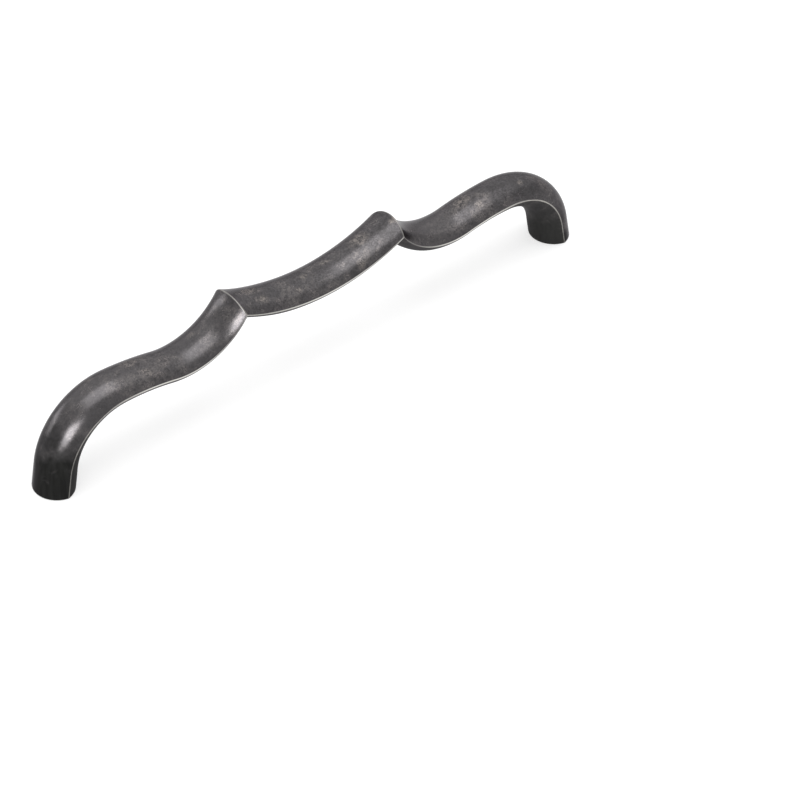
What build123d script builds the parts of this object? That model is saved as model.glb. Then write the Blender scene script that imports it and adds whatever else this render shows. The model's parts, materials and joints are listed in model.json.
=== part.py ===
from build123d import *
from math import ceil, cos, pi, radians, sin, tan
import os

# Cast bar pull with a wavy grip. Millimetres. The origin lies in the mounting plane, midway between
# the two screw holes. +X runs along the pull, +Z points away from the door or drawer front.

# Side profile from the left foot to the left peak. It follows the bar's two thin edges.
hole_spacing = 192.0
leg_angle = 80.0  # degrees from the mounting plane, leaning inwards
leg_length = 7.4
shoulder_radius = 21.8
crown_radius = 82.5
crown_fall = 12.0  # degrees below level, where the crown turns into the rise
rise_radius = 25.6
peak_slope = 55.5  # degrees above level, where the rise meets the peak
sag_slope = 26.5  # degrees below level, where the sagging middle leaves the peak

# Section: a lens of two equal bulging faces that meet at a narrow flat land at each side
bar_width = 15.4
bar_bulge = 4.1
foot_bulge = 6.15
edge_land = 0.4
taper_length = 55.0  # stretch of the profile over which the foot's bulge thins to the bar's
mitre_blend = 26.0  # stretch beside a peak over which the sections lean into the mitre
foot_bevel = 0.3  # worn rim round each foot

# Tapped screw hole in each foot, square to the mounting plane
thread_diameter = 4.17
hole_depth = 10.0
drill_point_angle = 118.0
countersink_diameter = 6.9
countersink_angle = 90.0

# Largest distance between two sections along the profile
section_pitch = 5.0


def fade(distance, length):
    """1 at no distance, falling smoothly to 0 at the given length and beyond."""
    return (1 + cos(pi * min(distance / length, 1))) / 2


def lens(bulge, width):
    """Section face with its narrow lands at both ends of X."""
    x = width / 2
    y = edge_land / 2
    return make_face(
        [
            ThreePointArc((-x, y), (0, bulge), (x, y)),
            Line((x, y), (x, -y)),
            ThreePointArc((x, -y), (0, -bulge), (-x, -y)),
            Line((-x, -y), (-x, y)),
        ]
    )


def section(path, distance, lean, bulge, width=bar_width):
    """A lens across the path. A positive lean tips its plane back towards the left, about the Y axis."""
    origin = path.position_at(distance, position_mode=PositionMode.LENGTH)
    tangent = path.tangent_at(distance, position_mode=PositionMode.LENGTH)
    return Plane(origin=origin, x_dir=(0, 1, 0), z_dir=tangent.rotate(Axis.Y, -lean)) * lens(bulge, width)


def stations(start, end):
    """Evenly spaced distances along a path, both ends included."""
    gaps = ceil((end - start) / section_pitch)
    return [start + (end - start) * i / gaps for i in range(gaps + 1)]


def profile():
    """The path from the left foot to the left peak, and the middle's path from peak to peak."""
    leg = PolarLine((-hole_spacing / 2, 0), leg_length, leg_angle)
    shoulder = JernArc(leg @ 1, leg % 1, shoulder_radius, -leg_angle)
    crown = JernArc(shoulder @ 1, shoulder % 1, crown_radius, -crown_fall)
    rise = JernArc(crown @ 1, crown % 1, rise_radius, crown_fall + peak_slope)
    left_peak = rise @ 1
    sag_radius = -left_peak.X / sin(radians(sag_slope))
    lowest = (0, left_peak.Y - sag_radius * (1 - cos(radians(sag_slope))))
    sag = ThreePointArc(left_peak, lowest, (-left_peak.X, left_peak.Y))
    return Plane.XZ * Wire([leg, shoulder, crown, rise]), Plane.XZ * Wire([sag])


def side(path):
    """Foot, leg, crown and rise. The foot's sections are level and the last one lies in the mitre."""
    foot_lean = 90 - leg_angle
    mitre_lean = (peak_slope + sag_slope) / 2
    rim = foot_bevel / sin(radians(leg_angle))
    sections = []
    for distance in stations(rim, path.length):
        bulge = bar_bulge + (foot_bulge - bar_bulge) * fade(distance - rim, taper_length)
        from_foot = foot_lean * fade(distance - rim, 2 * leg_length)
        from_peak = mitre_lean * fade(path.length - distance, mitre_blend)
        sections.append(section(path, distance, from_foot - from_peak, bulge))
    sole = section(path, 0, foot_lean, foot_bulge - foot_bevel, bar_width - 2 * foot_bevel)
    return loft([sole, sections[0]], ruled=True) + loft(sections)


def middle(path):
    """The sagging grip, with a mitre at each end."""
    mitre_lean = (peak_slope + sag_slope) / 2
    sections = []
    for distance in stations(0, path.length):
        lean = mitre_lean * (fade(distance, mitre_blend) - fade(path.length - distance, mitre_blend))
        sections.append(section(path, distance, lean, bar_bulge))
    return loft(sections)


def screw_hole():
    """The drilled and countersunk hole as a solid, its mouth at the origin."""
    mouth = countersink_diameter / 2
    bore = thread_diameter / 2
    countersink_depth = (mouth - bore) / tan(radians(countersink_angle / 2))
    tip = hole_depth + bore / tan(radians(drill_point_angle / 2))
    half = Polyline((0, 0), (mouth, 0), (bore, countersink_depth), (bore, hole_depth), (0, tip), close=True)
    return revolve(Plane.XZ * make_face(half), Axis.Z)


def bar_pull():
    """The casting: two mirrored sides and the middle, joined at the mitres, with a screw hole in each foot."""
    side_path, middle_path = profile()
    left_side = side(side_path)
    pull = left_side + middle(middle_path) + mirror(left_side, Plane.YZ)
    for x in (-hole_spacing / 2, hole_spacing / 2):
        pull -= Pos(x, 0, 0) * screw_hole()
    return pull


os.makedirs("parts", exist_ok=True)
export_step(bar_pull(), "parts/pull.step")
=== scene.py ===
import json
from math import cos, pi, radians, sin

import bpy
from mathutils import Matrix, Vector


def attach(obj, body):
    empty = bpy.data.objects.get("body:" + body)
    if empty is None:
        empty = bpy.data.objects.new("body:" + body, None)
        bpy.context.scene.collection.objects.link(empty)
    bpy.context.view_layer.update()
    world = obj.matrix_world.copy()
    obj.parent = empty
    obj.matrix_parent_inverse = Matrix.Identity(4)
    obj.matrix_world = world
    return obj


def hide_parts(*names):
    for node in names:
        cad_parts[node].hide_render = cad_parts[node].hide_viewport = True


# A cast bar pull with a wavy grip, standing on its two feet. The node trees work in millimetres and
# radians. The finished mesh is in metres, with the pull's length along X and its feet at Z 0.

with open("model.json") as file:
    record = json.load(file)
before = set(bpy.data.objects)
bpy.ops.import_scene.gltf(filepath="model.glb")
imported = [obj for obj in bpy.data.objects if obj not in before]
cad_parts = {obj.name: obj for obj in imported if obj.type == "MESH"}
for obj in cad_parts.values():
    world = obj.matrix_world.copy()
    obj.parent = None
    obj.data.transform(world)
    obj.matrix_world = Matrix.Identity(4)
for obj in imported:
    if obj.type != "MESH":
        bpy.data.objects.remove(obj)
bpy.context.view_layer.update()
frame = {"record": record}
mounts = {mount["name"]: mount for mount in frame["record"]["mounts"]}

MILLIMETRE = 0.001
WELD = 0.002  # points of two sheets nearer than this are one point
SHARP_BEND = radians(35.0)  # faces that meet at more than this keep a sharp edge

# Sizes of the casting
BAR_SIZES = {
    "Hole Spacing": mounts["screw_pair"]["dims"]["spacing_x_mm"],
    "Leg Angle": radians(80.0),
    "Leg Length": 7.4,
    "Shoulder Radius": 21.8,
    "Crown Radius": 82.5,
    "Crown Fall": radians(12.0),
    "Rise Radius": 25.6,
    "Peak Slope": radians(55.5),
    "Sag Slope": radians(26.5),
    "Bar Width": 15.4,
    "Bar Bulge": 4.1,
    "Foot Bulge": 6.13,
    "Edge Round": 0.28,
    "Taper Length": 55.0,
    "Mitre Blend": 26.0,
    "Foot Round": 0.3,
    "Ridge Round": 0.35,
    "Countersink Radius": 3.45,
}

# Sizes of the tapped holes. The record gives the bore that the thread is cut in
HOLE_SIZES = {
    "Root Radius": mounts["screw_left"]["dims"]["r_mm"],
    "Bore Length": mounts["screw_left"]["dims"]["length_mm"],
    "Crest Radius": 1.66,
    "Thread Pitch": 0.794,
    "Point Angle": radians(118.0),
}

# How finely the sheets are divided
AROUND = 96  # points round the bar, a multiple of four
EDGE_STEPS = 4  # of a quarter's points, those on the thin rounded edge
RIM_RINGS = 4
SIDE_RINGS = 132
MIDDLE_RINGS = 48
RIDGE_RINGS = 6
RIDGE_STEP = 0.08
SOLE_RINGS = 7
SINK_RINGS = 6
RINGS_PER_TURN = 8
POINT_RINGS = 5

# Shares of the thread's pitch that are flat at its root and at its crest
ROOT_FLAT = 0.25
CREST_FLAT = 0.125

# Each point keeps its distances from the thin edge, the peak's ridge and the foot's rim for the finish,
# and its share of the way to the outer side: 1 on top of the bar, -1 below it. The sole and the holes
# have no edge and no ridge near them.
MARKS = ("from_edge", "from_ridge", "from_rim", "outer")
FAR_FROM_EDGE = 9.0
FAR_FROM_RIDGE = 99.0
SOLE_REACH = 2.5  # from the sole's rim to the mouth of the countersink
RIDGE_SIDE = (0.02, 0.3)  # outer shares over which the ridge's rounding starts

# Colours of the finish, as light shares
BLACK_PATINA = (0.0485, 0.0464, 0.0474, 1.0)
GREY_PATINA = (0.0925, 0.0876, 0.0910, 1.0)
BEIGE_BLOOM = (0.215, 0.193, 0.177, 1.0)
# Painted shade for the legs and the underside: near-black, with a less dark grey for the legs' inner side
LEG_SHADE_BLACK = (0.0145, 0.0145, 0.014, 1.0)
LEG_SHADE_GREY = (0.033, 0.033, 0.032, 1.0)
BARE_EDGE = (0.40, 0.385, 0.36, 1.0)
# Worn bare edge, made lighter still on the grip's upper side as a painted highlight
WORN_EDGE_HIGHLIGHT = (0.66, 0.65, 0.62, 1.0)
GRAZING_TINT = (0.60, 0.59, 0.60, 1.0)

# Sizes of the patches in the finish
BROAD_GRAIN = 8.0
PATCH_GRAIN = 3.4
FLECK_GRAIN = 0.85
PIT_GRAIN = 0.4
STREAK_GRAIN = 1.1
STREAK_STRETCH = (1.0, 1.0, 0.12)  # streaks run up the legs

# Where the finish changes, from the foot's rim
# The painted shade on the legs fades out between these distances
LEG_SHADE_END = (11.5, 25.0)
GRIP_START = (30.0, 46.0)
SHOULDER_END = (30.0, 50.0)
SMOOTH_RISE = 70.0
RISE_FADE = (7.0, 16.0)  # to each side of the smooth place on the rise
DULL_START = (66.0, 78.0)  # the edges are dull on the rises, just below the peaks
DULL_END = (85.1, 85.4)  # at the ridge

# Where it changes along the pull from its middle, and from the ridge
RIGHT_HALF = (0.0, 30.0)
RIGHT_LEG = (60.0, 100.0)
CORNER_FADE = (6.0, 26.0)

# Wear is full up to the first distance and gone past the second. The light line on the grip's upper edges,
# wear with a painted highlight, starts a little off the edge
EDGE_WEAR = (0.08, 0.26)
RIDGE_WEAR = (0.12, 0.42)
RIM_WEAR = (0.12, 0.30)
WORN_HIGHLIGHT_START = (0.0, 0.12)
WORN_HIGHLIGHT_END = (0.30, 0.44)

ROUGHNESS = 0.26
WORN_ROUGHNESS = 0.50
UNDERSIDE_ROUGHNESS = 0.3  # more than the upper side's
BUMP_STRENGTH = 0.08
BUMP_HEIGHT = 0.02

# Where the larger beige stains lie on the bar, along and across it, with their half lengths
STAIN_LENGTH = 1.4  # a stain's length over its width
STAINS = (
    (-66.3, 2.2, 3.0), (-63.8, -3.8, 1.7), (-78.9, 2.9, 1.4), (-43.5, 1.9, 1.5), (-22.8, 0.8, 2.8),
    (-21.4, -3.6, 1.9), (-8.2, -4.1, 1.3), (-3.2, -0.4, 1.6), (5.6, 1.1, 1.5), (18.8, 0.8, 3.2),
    (14.3, -6.0, 1.6), (30.2, -1.9, 1.4), (60.0, 1.2, 3.2), (63.3, -3.3, 1.6), (80.1, -3.1, 1.1),
)

# Studio, in metres
WHITE = (1.0, 1.0, 1.0, 1.0)
FLOOR_COLOUR = (0.50, 0.50, 0.50, 1.0)
FLOOR_GLOW = 0.60
FLOOR_DROP = -0.1 * MILLIMETRE
FLOOR_REACH = 3.0
FILL_LIGHT = 0.85

# Camera, in millimetres
CAMERA_PLACE = (-461.9, -601.35, 616.95)
CAMERA_AIM = (6.11, -34.28, 0.0)
SENSOR = 36.0
FOCAL_LENGTH = 144.117


class Value:
    """One value in a node tree, which takes part in sums as a plain number does."""

    def __init__(self, tree, socket):
        self.tree = tree
        self.socket = socket

    def sum(self, operation, *others):
        node = self.tree.nodes.new("ShaderNodeMath")
        node.operation = operation
        for slot, value in zip(node.inputs, (self, *others)):
            plug(self.tree, slot, value)
        return Value(self.tree, node.outputs[0])

    def __add__(self, other):
        return self.sum("ADD", other)

    def __sub__(self, other):
        return self.sum("SUBTRACT", other)

    def __mul__(self, other):
        return self.sum("MULTIPLY", other)

    def __truediv__(self, other):
        return self.sum("DIVIDE", other)

    def __neg__(self):
        return self * -1

    __radd__ = __add__
    __rmul__ = __mul__

    def __rsub__(self, other):
        return -self + other

    def sin(self):
        return self.sum("SINE")

    def cos(self):
        return self.sum("COSINE")

    def tan(self):
        return self.sum("TANGENT")

    def floor(self):
        return self.sum("FLOOR")

    def sign(self):
        return self.sum("SIGN")

    def size(self):
        return self.sum("ABSOLUTE")

    def root(self):
        return self.sum("SQRT")

    def modulo(self, step):
        return self.sum("FLOORED_MODULO", step)

    def fold(self, width):
        return self.sum("PINGPONG", width)

    def least(self, other):
        return self.sum("MINIMUM", other)

    def most(self, other):
        return self.sum("MAXIMUM", other)

    def share(self, start, end):
        """0 at the start, 1 at the end, even between them and flat outside them."""
        return ((self - start) / (end - start)).most(0).least(1)

    def blend(self, low, high):
        """low where this value is 0, high where it is 1."""
        return low + self * (high - low)


def plug(tree, slot, value):
    """Wires a value into a socket, or sets the socket to a plain one."""
    if isinstance(value, Value):
        tree.links.new(value.socket, slot)
    elif hasattr(value, "is_output"):
        tree.links.new(value, slot)
    else:
        slot.default_value = value


def add_node(tree, kind, inputs=None, **settings):
    """A node with its settings and inputs. The inputs are named or numbered."""
    node = tree.nodes.new(kind)
    for name, value in settings.items():
        setattr(node, name, value)
    for name, value in (inputs or {}).items():
        plug(tree, node.inputs[name], value)
    return node


def new_tree(name, sizes):
    """An empty geometry tree with a named input for each size, and those inputs as values."""
    tree = bpy.data.node_groups.new(name, "GeometryNodeTree")
    tree.interface.new_socket(name="Geometry", in_out="OUTPUT", socket_type="NodeSocketGeometry")
    for size, value in sizes.items():
        socket = tree.interface.new_socket(name=size, in_out="INPUT", socket_type="NodeSocketFloat")
        socket.default_value = value
    source = tree.nodes.new("NodeGroupInput")
    return tree, {size: Value(tree, source.outputs[size]) for size in sizes}


def sheet(tree, rings):
    """A flat sheet of rings, ready to be rolled up, with each point's ring and turn numbers."""
    grid = add_node(tree, "GeometryNodeMeshGrid", {"Vertices X": rings, "Vertices Y": AROUND + 1})
    index = Value(tree, tree.nodes.new("GeometryNodeInputIndex").outputs[0])
    ring = (index / (AROUND + 1)).floor()
    return grid.outputs["Mesh"], ring, index - ring * (AROUND + 1)


def move_points(tree, geometry, x, y, z):
    """Moves each point of the geometry to its own place."""
    spot = add_node(tree, "ShaderNodeCombineXYZ", {"X": x, "Y": y, "Z": z}).outputs[0]
    moved = add_node(tree, "GeometryNodeSetPosition", {"Geometry": geometry, "Position": spot})
    return moved.outputs[0]


def keep_marks(tree, geometry, *values):
    """Keeps the marks on each point for the finish to read."""
    for name, value in zip(MARKS, values, strict=True):
        inputs = {"Geometry": geometry, "Name": name, "Value": value}
        kept = add_node(tree, "GeometryNodeStoreNamedAttribute", inputs, data_type="FLOAT", domain="POINT")
        geometry = kept.outputs[0]
    return geometry


def join(tree, *parts):
    node = tree.nodes.new("GeometryNodeJoinGeometry")
    for part in reversed(parts):
        tree.links.new(part, node.inputs[0])
    return node.outputs[0]


def flip(tree, geometry):
    return add_node(tree, "GeometryNodeFlipFaces", {"Mesh": geometry}).outputs[0]


def finish_tree(tree, geometry, material):
    """Welds the sheets, shades them smoothly up to their sharp edges, and brings them to metres."""
    loose = add_node(tree, "GeometryNodeRealizeInstances", {"Geometry": geometry})
    weld = add_node(tree, "GeometryNodeMergeByDistance", {"Geometry": loose.outputs[0], "Distance": WELD})
    smooth = add_node(
        tree, "GeometryNodeSetShadeSmooth", {"Geometry": weld.outputs[0], "Shade Smooth": True}
    )
    bend = Value(tree, tree.nodes.new("GeometryNodeInputMeshEdgeAngle").outputs["Unsigned Angle"])
    gentle = add_node(
        tree, "FunctionNodeCompare", {"A": bend, "B": SHARP_BEND}, data_type="FLOAT", operation="LESS_THAN"
    )
    shaded = add_node(
        tree,
        "GeometryNodeSetShadeSmooth",
        {"Geometry": smooth.outputs[0], "Shade Smooth": gentle.outputs[0]},
        domain="EDGE",
    )
    scale = (MILLIMETRE,) * 3
    metres = add_node(tree, "GeometryNodeTransform", {"Geometry": shaded.outputs[0], "Scale": scale})
    real = add_node(tree, "GeometryNodeRealizeInstances", {"Geometry": metres.outputs[0]})
    finish = add_node(tree, "GeometryNodeSetMaterial", {"Geometry": real.outputs[0], "Material": material})
    end = tree.nodes.new("NodeGroupOutput")
    tree.links.new(finish.outputs[0], end.inputs[0])


def fade(distance, length):
    """1 at no distance, falling smoothly to 0 at the given length."""
    return (((distance / length).least(1) * pi).cos() + 1) / 2


def lens_point(turn, bulge, half_width, edge_round):
    """A point of the lens-shaped section: across, outwards, its way along the outline from the thin
    edge, and its angle round the bar."""
    quarter = AROUND // 4
    step = turn.fold(quarter)
    reach = half_width - edge_round
    face_radius = (reach * reach + bulge * bulge - edge_round * edge_round) / ((bulge - edge_round) * 2)
    spread = reach.sum("ARCTAN2", face_radius - bulge)
    edge_angle = (pi / 2 - spread) * step.share(0, EDGE_STEPS)
    face_angle = spread * (1 - step.share(EDGE_STEPS, quarter))
    across = face_radius * face_angle.sin() + edge_round * (edge_angle.cos() - spread.sin())
    outwards = bulge - face_radius * (1 - face_angle.cos()) + edge_round * (edge_angle.sin() - spread.cos())
    from_edge = edge_round * edge_angle + face_radius * (spread - face_angle)
    angle = turn * (2 * pi / AROUND)
    return across * angle.cos().sign(), outwards * angle.sin().sign(), from_edge, angle


def side_stations(sizes):
    """How far along the side's line its shoulder, crown and rise start, and where it ends."""
    shoulder = sizes["Leg Length"]
    crown = shoulder + sizes["Shoulder Radius"] * sizes["Leg Angle"]
    rise = crown + sizes["Crown Radius"] * sizes["Crown Fall"]
    return shoulder, crown, rise, rise + sizes["Rise Radius"] * (sizes["Crown Fall"] + sizes["Peak Slope"])


def side_path(sizes, distance):
    """The line from the left foot to the left peak: X, Z and heading at a distance along it."""
    lean, fall, peak = sizes["Leg Angle"], sizes["Crown Fall"], sizes["Peak Slope"]
    shoulder_start, crown_start, rise_start, end = side_stations(sizes)
    on_leg = distance.least(shoulder_start)
    shoulder = lean * (1 - distance.share(shoulder_start, crown_start))
    crown = -fall * distance.share(crown_start, rise_start)
    rise = -fall + (fall + peak) * distance.share(rise_start, end)
    x = (
        on_leg * lean.cos()
        - sizes["Hole Spacing"] / 2
        + sizes["Shoulder Radius"] * (lean.sin() - shoulder.sin())
        - sizes["Crown Radius"] * crown.sin()
        + sizes["Rise Radius"] * (rise.sin() + fall.sin())
    )
    z = (
        on_leg * lean.sin()
        + sizes["Shoulder Radius"] * (shoulder.cos() - lean.cos())
        + sizes["Crown Radius"] * (crown.cos() - 1)
        + sizes["Rise Radius"] * (fall.cos() - rise.cos())
    )
    return x, z, shoulder + crown + rise + fall


def set_section(tree, geometry, x, z, angle, across, outwards):
    """Stands the section's points across the path, with the section's plane square to the given angle."""
    return move_points(tree, geometry, x - outwards * angle.sin(), across, z + outwards * angle.cos())


def side_sheet(tree, sizes):
    """Foot, leg, shoulder, crown and rise, up to the left mitre."""
    geometry, ring, turn = sheet(tree, RIM_RINGS + SIDE_RINGS + RIDGE_RINGS + 1)
    end = side_stations(sizes)[-1]
    rim_angle = ring.share(0, RIM_RINGS) * (pi / 2)
    inset = sizes["Foot Round"] * (1 - rim_angle.sin())
    rim_top = sizes["Foot Round"] / sizes["Leg Angle"].sin()
    body_step = (end - rim_top - RIDGE_RINGS * RIDGE_STEP) / SIDE_RINGS
    distance = (
        rim_top * (1 - rim_angle.cos())
        + (ring - RIM_RINGS).most(0).least(SIDE_RINGS) * body_step
        + (ring - RIM_RINGS - SIDE_RINGS).most(0) * RIDGE_STEP
    )
    x, z, heading = side_path(sizes, distance)
    from_rim_top = (distance - rim_top).most(0)
    foot_bulge, bar_bulge = sizes["Foot Bulge"], sizes["Bar Bulge"]
    bulge = bar_bulge + (foot_bulge - bar_bulge) * fade(from_rim_top, sizes["Taper Length"])
    foot_lean = (pi / 2 - sizes["Leg Angle"]) * fade(from_rim_top, sizes["Leg Length"] * 2)
    mitre_lean = (sizes["Peak Slope"] + sizes["Sag Slope"]) / 2
    peak_lean = mitre_lean * fade(end - distance, sizes["Mitre Blend"])
    across, outwards, from_edge, angle = lens_point(
        turn, bulge - inset, sizes["Bar Width"] / 2 - inset, sizes["Edge Round"]
    )
    geometry = set_section(tree, geometry, x, z, heading + foot_lean - peak_lean, across, outwards)
    return keep_marks(tree, geometry, from_edge, end - distance, distance, angle.sin())


def middle_sheet(tree, sizes):
    """The sagging grip, from the left mitre to the pull's middle."""
    geometry, ring, turn = sheet(tree, RIDGE_RINGS + MIDDLE_RINGS + 1)
    end = side_stations(sizes)[-1]
    peak_x, peak_z, _ = side_path(sizes, end)
    slope = sizes["Sag Slope"]
    sag_radius = -peak_x / slope.sin()
    half_length = sag_radius * slope
    body_step = (half_length - RIDGE_RINGS * RIDGE_STEP) / MIDDLE_RINGS
    distance = ring.least(RIDGE_RINGS) * RIDGE_STEP + (ring - RIDGE_RINGS).most(0) * body_step
    heading = -slope * (1 - distance / half_length)
    x = peak_x + sag_radius * (heading.sin() + slope.sin())
    z = peak_z + sag_radius * (slope.cos() - heading.cos())
    blend = sizes["Mitre Blend"]
    mitre_lean = (sizes["Peak Slope"] + slope) / 2
    lean = mitre_lean * (fade(distance, blend) - fade(half_length * 2 - distance, blend))
    across, outwards, from_edge, angle = lens_point(
        turn, sizes["Bar Bulge"], sizes["Bar Width"] / 2, sizes["Edge Round"]
    )
    geometry = set_section(tree, geometry, x, z, heading + lean, across, outwards)
    return keep_marks(tree, geometry, from_edge, distance, end + distance, angle.sin())


def round_ridge(tree, geometry, sizes):
    """Rounds the outer ridge of the mitre. The crease on the inner side stays sharp."""
    peak_x, peak_z, _ = side_path(sizes, side_stations(sizes)[-1])
    tilt = (sizes["Peak Slope"] - sizes["Sag Slope"]) / 2
    fall = (sizes["Peak Slope"] + sizes["Sag Slope"]) / 2
    here = tree.nodes.new("GeometryNodeInputPosition").outputs[0]
    spot = add_node(tree, "ShaderNodeSeparateXYZ", {"Vector": here})
    x, z = Value(tree, spot.outputs["X"]), Value(tree, spot.outputs["Z"])
    off_ridge = ((x - peak_x) * tilt.cos() + (z - peak_z) * tilt.sin()).size()
    radius = sizes["Ridge Round"]
    near = off_ridge.least(radius * fall.sin())
    drop = near * fall.tan() + (radius * radius - near * near).root() - radius / fall.cos()
    outer = Value(tree, add_node(tree, "GeometryNodeInputNamedAttribute", {"Name": "outer"}).outputs[0])
    drop = drop * outer.share(*RIDGE_SIDE)
    offset = add_node(tree, "ShaderNodeCombineXYZ", {"X": -drop * tilt.sin(), "Z": drop * tilt.cos()})
    rounded = add_node(
        tree, "GeometryNodeSetPosition", {"Geometry": geometry, "Offset": offset.outputs[0]}
    )
    return rounded.outputs[0]


def sole_sheet(tree, sizes):
    """The flat sole, from the rim's outline in to the mouth of the countersink."""
    geometry, ring, turn = sheet(tree, SOLE_RINGS + 1)
    inset = sizes["Foot Round"]
    across, outwards, _, angle = lens_point(
        turn, sizes["Foot Bulge"] - inset, sizes["Bar Width"] / 2 - inset, sizes["Edge Round"]
    )
    inwards = ring / SOLE_RINGS
    mouth = sizes["Countersink Radius"]
    y = inwards.blend(across, mouth * angle.cos())
    x = -sizes["Hole Spacing"] / 2 - inwards.blend(outwards, mouth * angle.sin())
    geometry = move_points(tree, geometry, x, y, 0.0)
    return keep_marks(tree, geometry, FAR_FROM_EDGE, FAR_FROM_RIDGE, inwards * SOLE_REACH, 0.0)


def hole_sheet(tree, sizes):
    """One countersunk and tapped hole, its mouth round the origin. Its rings follow the thread's helix."""
    pitch, length = sizes["Thread Pitch"], sizes["Bore Length"]
    thread_rings = ((length / pitch).sum("CEIL") + 1) * RINGS_PER_TURN
    geometry, ring, turn = sheet(tree, thread_rings + SINK_RINGS + POINT_RINGS + 1)
    angle = turn * (2 * pi / AROUND)
    root, crest, mouth = sizes["Root Radius"], sizes["Crest Radius"], sizes["Countersink Radius"]
    sink = ring.share(0, SINK_RINGS)
    turns = (ring - SINK_RINGS) / RINGS_PER_TURN - 1 + turn / AROUND
    height = (turns * pitch).most(0).least(length)
    run_out = height.least(length - height).share(0, pitch)
    flank = (turns.modulo(1) * 2 - 1).size().share(ROOT_FLAT, 1 - CREST_FLAT)
    point = (ring - SINK_RINGS - thread_rings).most(0) / POINT_RINGS
    radius = sink.blend(mouth, root - (1 - flank) * run_out * (root - crest)) * (1 - point)
    tip = root / (sizes["Point Angle"] / 2).tan()
    depth = sink * (mouth - root) + height + point * tip
    geometry = move_points(tree, geometry, -radius * angle.sin(), radius * angle.cos(), depth)
    return keep_marks(tree, geometry, FAR_FROM_EDGE, FAR_FROM_RIDGE, SOLE_REACH, 0.0)


def casting_tree(plain_sizes, material):
    """The whole casting: half of it, that half's mirror image, and a tapped hole in each foot."""
    tree, sizes = new_tree("bar_pull_casting", plain_sizes)
    bar = flip(tree, join(tree, side_sheet(tree, sizes), middle_sheet(tree, sizes)))
    half = round_ridge(tree, join(tree, bar, sole_sheet(tree, sizes)), sizes)
    mirrored = add_node(tree, "GeometryNodeTransform", {"Geometry": half, "Scale": (-1.0, 1.0, 1.0)})
    other_half = flip(tree, mirrored.outputs[0])  # mirroring turns its faces inwards
    left_hole = add_node(tree, "ShaderNodeCombineXYZ", {"X": -sizes["Hole Spacing"] / 2})
    spacing = add_node(tree, "ShaderNodeCombineXYZ", {"X": sizes["Hole Spacing"]})
    feet = add_node(
        tree,
        "GeometryNodeMeshLine",
        {"Count": 2, "Start Location": left_hole.outputs[0], "Offset": spacing.outputs[0]},
    )
    hole = hole_sheet(tree, sizes)
    holes = add_node(tree, "GeometryNodeInstanceOnPoints", {"Points": feet.outputs[0], "Instance": hole})
    finish_tree(tree, join(tree, half, other_half, holes.outputs[0]), material)
    return tree


def make_piece(name, tree, sizes):
    """Runs a tree with its sizes set, and keeps the result as a plain mesh."""
    carrier = bpy.data.objects.new(name + "_tree", bpy.data.meshes.new(name + "_tree"))
    bpy.context.scene.collection.objects.link(carrier)
    modifier = carrier.modifiers.new("tree", "NODES")
    modifier.node_group = tree
    for socket in tree.interface.items_tree:
        if socket.in_out == "INPUT":
            modifier[socket.identifier] = sizes[socket.name]
    depsgraph = bpy.context.evaluated_depsgraph_get()
    mesh = bpy.data.meshes.new_from_object(
        carrier.evaluated_get(depsgraph), preserve_all_data_layers=True, depsgraph=depsgraph
    )
    mesh.name = name
    carrier.modifiers.remove(modifier)
    bpy.data.objects.remove(carrier)
    piece = bpy.data.objects.new(name, mesh)
    bpy.context.scene.collection.objects.link(piece)
    return piece


def new_material(name):
    """An empty material and its tree."""
    material = bpy.data.materials.new(name)
    material.use_nodes = True
    material.node_tree.nodes.clear()
    return material, material.node_tree


def cloud(tree, spot, grain, detail=2.0, roughness=0.5, warp=0.0, stretch=(1.0, 1.0, 1.0), shift=0.0):
    """Soft random patches of about the given size, around one half. A shift sets apart clouds alike."""
    scale = tuple(factor / grain for factor in stretch)
    mapping = add_node(
        tree, "ShaderNodeMapping", {"Vector": spot, "Location": (shift,) * 3, "Scale": scale}
    )
    noise = add_node(
        tree,
        "ShaderNodeTexNoise",
        {
            "Vector": mapping.outputs[0],
            "Scale": 1.0,
            "Detail": detail,
            "Roughness": roughness,
            "Distortion": warp,
        },
    )
    return Value(tree, noise.outputs["Fac"])


def tint(tree, amount, low, high):
    """The low colour where the amount is 0, the high colour where it is 1."""
    node = add_node(tree, "ShaderNodeMix", {"Factor": amount}, data_type="RGBA")
    colours = [socket for socket in node.inputs if socket.type == "RGBA"]
    for socket, colour in zip(colours, (low, high)):
        plug(tree, socket, colour)
    return next(socket for socket in node.outputs if socket.type == "RGBA")


def from_stains(tree, spot):
    """Distance from the nearest stain's middle, as a share of its half length."""
    scale = (1.0, STAIN_LENGTH, 0.0)
    flat = add_node(tree, "ShaderNodeMapping", {"Vector": spot, "Scale": scale}).outputs[0]
    nearest = None
    for x, y, half_length in STAINS:
        middle = (x, y * STAIN_LENGTH, 0.0)
        gap = add_node(tree, "ShaderNodeVectorMath", {0: flat, 1: middle}, operation="DISTANCE")
        share = Value(tree, gap.outputs["Value"]) / half_length
        nearest = share if nearest is None else nearest.least(share)
    return nearest


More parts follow.
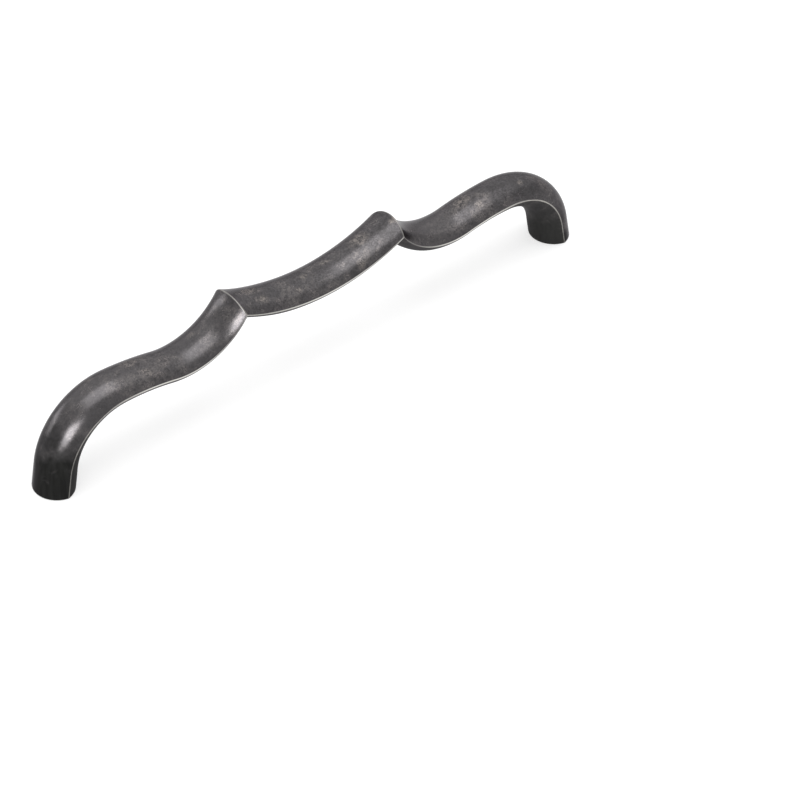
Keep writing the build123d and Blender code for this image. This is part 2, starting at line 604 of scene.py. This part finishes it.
def cast_metal():
    """Blackened casting with cloudy lighter patches, beige stains, fine pits and edges worn bare, painted
    shade on the legs and underside, and a painted highlight on the grip's upper edges.
    """
    material, tree = new_material("dark_cast_metal")
    here = add_node(tree, "ShaderNodeTexCoord").outputs["Object"]
    spot = add_node(tree, "ShaderNodeMapping", {"Vector": here, "Scale": (1 / MILLIMETRE,) * 3}).outputs[0]
    along = Value(tree, add_node(tree, "ShaderNodeSeparateXYZ", {"Vector": spot}).outputs["X"])
    marks = [add_node(tree, "ShaderNodeAttribute", attribute_name=name) for name in MARKS]
    from_edge, from_ridge, from_rim, outer = (Value(tree, mark.outputs["Fac"]) for mark in marks)
    broad = cloud(tree, spot, BROAD_GRAIN, detail=1.0)
    patches = cloud(tree, spot, PATCH_GRAIN, detail=3.0, roughness=0.6, warp=0.6, shift=31.0)
    flecks = cloud(tree, spot, FLECK_GRAIN, detail=4.0, roughness=0.6, warp=1.2, shift=57.0)
    pits = cloud(tree, spot, PIT_GRAIN, shift=83.0)
    streaks = cloud(tree, spot, STREAK_GRAIN, detail=3.0, stretch=STREAK_STRETCH, shift=109.0)

    # The legs and the underside are painted near-black, a painted shade for the dark surroundings they
    # reflect. The right leg has least of it
    ragged = (broad - 0.5) * 14 + (patches - 0.5) * 16
    rubbed_and_lit = (from_rim + ragged + outer * 4 + along.share(*RIGHT_LEG) * 9).share(*LEG_SHADE_END)

    # The left shoulder and the stretches below the peaks are the smoothest
    mottled = from_rim.share(*SHOULDER_END).most(along.share(*RIGHT_HALF))
    mottled = mottled * (from_rim - SMOOTH_RISE).size().share(*RISE_FADE).blend(0.2, 1.0)
    grey = (broad * 0.12 + patches * 0.16 + flecks * 0.36 + pits * 0.36).share(0.41, 0.59)
    grey = 0.5 + (grey - 0.5) * mottled.blend(0.5, 1.1)
    colour = tint(tree, grey, BLACK_PATINA, GREY_PATINA)

    # Beige stains and faint clouds are broken up by the flecks, with thin veins between them
    stained = (1.6 - from_stains(tree, spot) + (patches - 0.5) * 2.4).share(0.2, 1.1)
    stained = stained * outer.share(0.0, 0.2)
    faint = (patches * 0.65 + broad * 0.35).share(0.50, 0.60) * 0.45
    bloom = stained.most(faint) * flecks.share(0.43, 0.58)
    veins = (1 - (flecks - 0.5).size().share(0.0, 0.03)) * (patches * 0.5 + broad * 0.5).share(0.46, 0.53)
    colour = tint(tree, bloom.most(veins * 0.35) * mottled.blend(0.30, 0.68), colour, BEIGE_BLOOM)

    # Painted shade on the legs: darker on their outer side than their inner side, with real streaks running
    # up them, and deeper under the bar
    leg_shade_grey = outer.share(-0.3, 0.3).blend(1.0, 0.0) * 0.75 + streaks.share(0.35, 0.7) * 0.4
    leg = tint(tree, leg_shade_grey, LEG_SHADE_BLACK, LEG_SHADE_GREY)
    colour = tint(tree, rubbed_and_lit * outer.share(-0.5, 0.0).blend(0.5, 1.0), leg, colour)

    # Edges, ridges and rims are worn bare, with a frayed outline
    fray = (flecks - 0.5) * 0.3 + (patches - 0.5) * 0.25
    upper = outer.share(-0.04, 0.04)
    gripped = from_rim.share(*GRIP_START)
    dull = from_rim.share(*DULL_START) * (1 - from_rim.share(*DULL_END))
    on_edge = (1 - (from_edge + fray).share(*EDGE_WEAR)) * (gripped * (1 - upper)).blend(1.0, 0.1)
    on_edge = on_edge * dull.blend(1.0, 0.4)
    on_ridge = (1 - (from_ridge + fray).share(*RIDGE_WEAR)) * outer.share(0.0, 0.15)
    on_rim = 1 - (from_rim + fray).share(*RIM_WEAR)
    # The mask of the legs' painted shade also sets how much the edges are worn: less on the legs
    worn = on_edge.most(on_ridge * 0.4).most(on_rim * 0.5) * rubbed_and_lit.blend(0.4, 1.0)
    colour = tint(tree, worn, colour, BARE_EDGE)

    # The grip's edges are worn light on their upper side, with a painted highlight there, less so in the
    # corners at the peaks
    worn_highlight = (1 - (from_edge + fray * 0.2).share(*WORN_HIGHLIGHT_END)) * from_edge.share(*WORN_HIGHLIGHT_START)
    worn_highlight = worn_highlight * gripped * upper
    worn_highlight = worn_highlight * from_ridge.share(*CORNER_FADE).blend(0.4, 1.0) * dull.blend(1.0, 0.2)
    colour = tint(tree, worn_highlight, colour, WORN_EDGE_HIGHLIGHT)

    below = outer.share(0.0, -0.05)
    roughness = ROUGHNESS + (flecks - 0.5) * 0.06 + (patches - 0.5) * 0.05 + below * UNDERSIDE_ROUGHNESS
    roughness = worn.most(worn_highlight).blend(roughness, WORN_ROUGHNESS)
    height = flecks * 0.6 + pits * 0.4
    bump = add_node(
        tree,
        "ShaderNodeBump",
        {"Strength": BUMP_STRENGTH, "Distance": BUMP_HEIGHT * MILLIMETRE, "Height": height},
    )
    shader = add_node(
        tree,
        "ShaderNodeBsdfPrincipled",
        {
            "Base Color": colour,
            "Metallic": 1.0,
            "Roughness": roughness,
            "Specular Tint": GRAZING_TINT,
            "Normal": bump.outputs[0],
        },
    )
    add_node(tree, "ShaderNodeOutputMaterial", {"Surface": shader.outputs[0]})
    return material


def seen_ray(tree):
    """1 on a ray that shows the studio to the camera, in a shiny surface or through a clear one."""
    rays = add_node(tree, "ShaderNodeLightPath")
    seen = Value(tree, rays.outputs["Is Camera Ray"]).most(rays.outputs["Is Glossy Ray"])
    return seen.most(rays.outputs["Is Transmission Ray"])


def add_floor():
    """A plain pale floor. It looks white to the camera and keeps the pull's soft shadow."""
    corners = ((-1, -1), (1, -1), (1, 1), (-1, 1))
    points = [(x * FLOOR_REACH, y * FLOOR_REACH, FLOOR_DROP) for x, y in corners]
    mesh = bpy.data.meshes.new("floor")
    mesh.from_pydata(points, [], [(0, 1, 2, 3)])
    material, tree = new_material("floor_white")
    paint = add_node(tree, "ShaderNodeBsdfDiffuse", {"Color": FLOOR_COLOUR})
    glow = add_node(tree, "ShaderNodeEmission", {"Strength": seen_ray(tree) * FLOOR_GLOW})
    both = add_node(tree, "ShaderNodeAddShader", {0: paint.outputs[0], 1: glow.outputs[0]})
    add_node(tree, "ShaderNodeOutputMaterial", {"Surface": both.outputs[0]})
    mesh.materials.append(material)
    floor = bpy.data.objects.new("floor", mesh)
    bpy.context.scene.collection.objects.link(floor)
    return floor


def set_world():
    """Dim white light from all round, which the camera and shiny surfaces see as plain white."""
    world = bpy.data.worlds.new("studio")
    world.use_nodes = True
    bpy.context.scene.world = world
    tree = world.node_tree
    tree.nodes.clear()
    strength = seen_ray(tree).blend(FILL_LIGHT, 1.0)
    sky = add_node(tree, "ShaderNodeBackground", {"Color": WHITE, "Strength": strength})
    add_node(tree, "ShaderNodeOutputWorld", {"Surface": sky.outputs[0]})


def aim_at(thing, place, target):
    """Puts a lamp or camera at its place, turned to the target."""
    thing.location = place
    thing.rotation_euler = (target - place).to_track_quat("-Z", "Y").to_euler()
    bpy.context.scene.collection.objects.link(thing)


def add_softbox(name, turn, height, distance, width, depth, brightness, lights_floor=False):
    """A soft lamp at a turn from +X and a height in degrees. White paper has brightness 1."""
    lamp = bpy.data.lights.new(name, "AREA")
    lamp.shape = "RECTANGLE"
    lamp.size, lamp.size_y = width, depth
    lamp.energy = 4 * width * depth * brightness  # Blender's watts for a lamp of this area
    softbox = bpy.data.objects.new(name, lamp)
    turn, height = radians(turn), radians(height)
    place = Vector((cos(height) * cos(turn), cos(height) * sin(turn), sin(height))) * distance
    aim_at(softbox, place, Vector())
    softbox.visible_camera = False
    softbox.visible_diffuse = lights_floor


def add_camera():
    """A long lens above and before the pull's left end."""
    lens = bpy.data.cameras.new("camera")
    lens.sensor_width = SENSOR
    lens.lens = FOCAL_LENGTH
    camera = bpy.data.objects.new("camera", lens)
    aim_at(camera, Vector(CAMERA_PLACE) * MILLIMETRE, Vector(CAMERA_AIM) * MILLIMETRE)
    bpy.context.scene.camera = camera


sizes = {**BAR_SIZES, **HOLE_SIZES}
pull = make_piece("bar_pull", casting_tree(sizes, cast_metal()), sizes)
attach(pull, "root")
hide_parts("pull")

floor = add_floor()
set_world()
add_softbox("large_softbox", turn=53.0, height=52.0, distance=1.6, width=3.4, depth=2.8, brightness=0.40)
add_softbox(
    "overhead_softbox",
    turn=-90.0,
    height=86.0,
    distance=1.5,
    width=1.15,
    depth=1.15,
    brightness=2.0,
    lights_floor=True,
)
add_softbox("front_softbox", turn=-143.5, height=25.0, distance=2.0, width=0.87, depth=0.87, brightness=8.4)
add_softbox("back_softbox", turn=118.0, height=12.0, distance=2.0, width=1.1, depth=0.6, brightness=2.2)
add_camera()

bpy.context.scene.view_settings.view_transform = "Standard"
